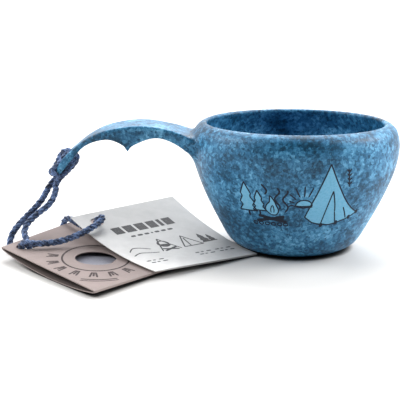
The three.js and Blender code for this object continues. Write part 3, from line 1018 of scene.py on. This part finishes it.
def sleeve_floor(along, across):
    """The inside of the lower sheet, under the window."""
    u, v = along / SLEEVE_LENGTH, across / SLEEVE_WIDTH
    return sleeve_top(u, v) - (0, 0, sleeve_height(u, v) - CARD_THICKNESS)


def make_sleeve_print():
    """A ring round the window, then leaf marks and two short arcs outside its free side."""
    ink = ink_material("kraft_ink", (0.045, 0.030, 0.030), 0.7, 0.25)
    x, y = WINDOW_ON_SHEET
    shapes = [stroke_rows(arc(x, y, RING_RADIUS, 0, 360, 90), 1.0)]
    for turn in range(84, 240, 24):
        for lean, extra in ((-4.3, 1), (0, 0), (4.3, 1)):
            foot = around(x, y, MARK_FOOT, turn + lean * 0.6)
            shapes.append(stroke_rows([foot, around(x, y, MARK_REACH + extra, turn + lean)], 1.0))
    for radius, width in ((28.0, 0.9), (29.8, 0.7)):
        shapes.append(stroke_rows(arc(x, y, radius, 108, 144, 24), width))
    piece = printed("sleeve_print", sleeve_surface, shapes, ink, 0.03, 0.05, flip=True)
    slate = ink_material("window_slate", (0.21, 0.215, 0.26), 0.4, 0.2)
    disc = fill_rows(arc(x, y, PANEL_RADIUS, 0, 360, 48), 1.0)
    panel = printed("window_panel", sleeve_floor, [disc], slate, 0.04, 0.05, flip=True)
    for made in (piece, panel):
        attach(made, "cord_loop")


# -------- leaflet

def leaflet_top(u, v):
    raised_left, raised_right, lying_left, lying_right = LEAFLET_CORNERS
    raised = raised_left + (raised_right - raised_left) * u
    lying = lying_left + (lying_right - lying_left) * u
    point = raised + (lying - raised) * v
    curl = CURL_LEFT + (CURL_RIGHT - CURL_LEFT) * u
    point[2] = lying[2] + (raised[2] - lying[2]) * max(1 - v, 0) ** curl
    return point


def make_leaflet():
    """Two leaves of one folded sheet, a little apart at their free edges."""
    leaf = 0.17
    lower_leaf = LEAFLET_THICKNESS - leaf
    steps_u, steps_v = 34, 44
    columns = np.linspace(0, 1, steps_u)
    sections = []
    for v in np.linspace(0, 1, steps_v):
        tops = [leaflet_top(u, v) for u in columns]
        closing = [0.5 * (lower_leaf - leaf) * math.exp(-u * 14) for u in columns]
        loop = [p - (0, 0, s) for p, s in zip(tops, closing)]
        loop += [p - (0, 0, leaf + s) for p, s in zip(tops[::-1], closing[::-1])]
        loop += [p - (0, 0, lower_leaf - s + 0.005) for p, s in zip(tops[1:], closing[1:])]
        loop += [p - (0, 0, LEAFLET_THICKNESS - s) for p, s in zip(tops[::-1], closing[::-1])]
        sections.append(loop)
    size = len(sections[0])
    vertices = [p for loop in sections for p in loop]
    faces = []
    last = (steps_v - 1) * size
    for low in range(0, last, size):
        faces += band(low, low + size, size)
    for start in (0, last):
        upper = list(range(start, start + 2 * steps_u))
        lower = upper[-1:] + list(range(start + 2 * steps_u, start + size))
        for k in range(steps_u - 1):
            faces.append((upper[k], upper[k + 1], upper[-2 - k], upper[-1 - k]))
            faces.append((lower[k], lower[k + 1], lower[-2 - k], lower[-1 - k]))
        faces.append((upper[0], upper[-1], lower[-1]))
    leaflet = outward(make_object("leaflet_sheet", vertices, faces, smooth=False))
    combine(leaflet, upright_cylinder(*LEAFLET_HOLE, 2, 30, 48), "DIFFERENCE")
    leaflet.data.materials.clear()
    paper = card_material("leaflet_paper", (0.82, 0.81, 0.80), (0.60, 0.60, 0.60), 0.55, 0.15)
    # Painted shade: the paper's colour falls to half towards the leaflet's raised back edge.
    paint_shade_toward_back(paper, -0.050, 0.010, 0.50)
    leaflet.data.materials.append(paper)
    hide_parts("leaflet")
    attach(leaflet, "cord_loop")
    return leaflet


LEAFLET_WIDTH = float(np.linalg.norm(LEAFLET_CORNERS[1] - LEAFLET_CORNERS[0]))
LEAFLET_LENGTH = float(np.linalg.norm(LEAFLET_CORNERS[2] - LEAFLET_CORNERS[0]))


def leaflet_surface(along, down):
    return leaflet_top(along / LEAFLET_WIDTH, down / LEAFLET_LENGTH)


def bar(x, y, length, thickness):
    return stroke_rows([(x, y), (x + length, y)], thickness)


def block(x, y, width, height):
    """A solid upright block, as rows of points."""
    return [[(a, b) for a in np.linspace(x, x + width, 6)] for b in np.linspace(y, y + height, 6)]


def make_leaflet_print():
    """Blocks in place of words, and small camp drawings below them."""
    ink = ink_material("leaflet_ink", (0.045, 0.045, 0.050), 0.6, 0.2)
    line = 0.75
    shapes = []
    x = 12.5
    for width in (5.4, 5.8, 5.8, 5.4, 2.2, 5.4):
        shapes.append(block(x, 15.6, width, 6.2))
        x += width + 1.4
    x = 18.0
    for width in (2.8, 3.2, 2.8, 1.2, 2.8, 3.0, 3.2):
        shapes.append(bar(x, 25.8, width, 1.5))
        x += width + 1.2
    shapes.append(stroke_rows([(42.6, 33.6), (36.6, 45), (48.8, 45)], line, closed=True))
    for x, y, height in ((52.6, 45.4, 11), (57, 45, 8.4)):
        tree = [(a, 2 * y - b) for a, b in pine(x, y, height, height * 0.62)]
        shapes.append(fill_rows(tree, 0.7))
    shapes.append(fill_rows(arc(28.4, 38.8, 3.4, 0, 180, 16, 0.85) + [(25, 38)], 0.6))
    near_hill = spline([(5, 45.6), (10, 43.4), (16, 45), (20, 45.8)], 6)
    far_hill = spline([(6, 40.6), (10, 37.4), (14, 38.2), (18.4, 41)], 6)
    for stroke, width in (
        ([(42.6, 36), (41, 44.6)], line), ([(24, 45.6), (32.6, 43)], 1.3), ([(24, 43), (32.6, 45.6)], 1.3),
        (arc(28.4, 38.6, 3.2, 180, 360, 16, 1.1), line), ([(22.6, 45.6), (28.4, 32.4)], line),
        ([(34.2, 45.6), (28.4, 32.4)], line), (far_hill, line * 0.8), (near_hill, line * 0.8),
    ):
        shapes.append(stroke_rows(stroke, width))
    for start in (6, 36, 49):
        for k, width in enumerate((2.6, 1.8, 3.0)):
            shapes.append(bar(start + 3.6 * k, 53.5, width, 0.9))
            shapes.append(bar(start + 0.8 + 3.4 * k, 56.2, width, 0.9))
    piece = printed("leaflet_print", leaflet_surface, shapes, ink, 0.03, 0.05, flip=True)
    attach(piece, "cord_loop")


# -------- the scene

make_camera()
cords = make_cords()
make_stage()
make_cup(composite_material())
make_bowl_drawing()
sleeve = make_sleeve()
make_sleeve_print()
make_leaflet()
make_leaflet_print()
